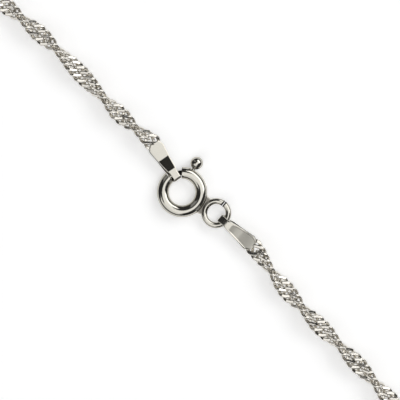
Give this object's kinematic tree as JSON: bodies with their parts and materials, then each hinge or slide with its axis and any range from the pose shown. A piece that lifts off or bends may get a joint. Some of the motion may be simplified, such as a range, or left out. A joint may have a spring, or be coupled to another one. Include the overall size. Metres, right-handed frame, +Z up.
{
  "type": "singapore chain necklace",
  "caption": "Twisted double curb chain necklace, closed and laid flat in a loop, with a spring-ring clasp and a folded tear-shaped tag at each end",
  "frame": {"origin": "Middle of the footprint, on the surface that the necklace lies on", "axes": "X along the straight stretch with the clasp, from the left half of the chain to the right half; Y from the back of the loop to the clasp; Z up"},
  "size_m": [0.1598, 0.127, 0.002],
  "materials": {
    "chain_silver": "sterling silver wire links, diamond cut and polished",
    "clasp_silver": "polished sterling silver, with matte sunk faces on the tags"
  },
  "bodies": {
    "necklace": {"chain_left": "chain_silver", "chain_right": "chain_silver", "clasp_body": "clasp_silver", "end_tag_left": "clasp_silver", "end_tag_right": "clasp_silver"},
    "bolt": {"clasp_bolt": "clasp_silver"}
  },
  "joints": [
    {"name": "bolt_slide", "type": "hinge", "parent": "necklace", "child": "bolt", "pos_m": [-0.00078, 0.05988, 0.00068], "axis": [0, 0, -1], "range_deg": [0, 45], "stiffness_Nm_per_rad": 0.0012, "springref_deg": -22.92}
  ]
}
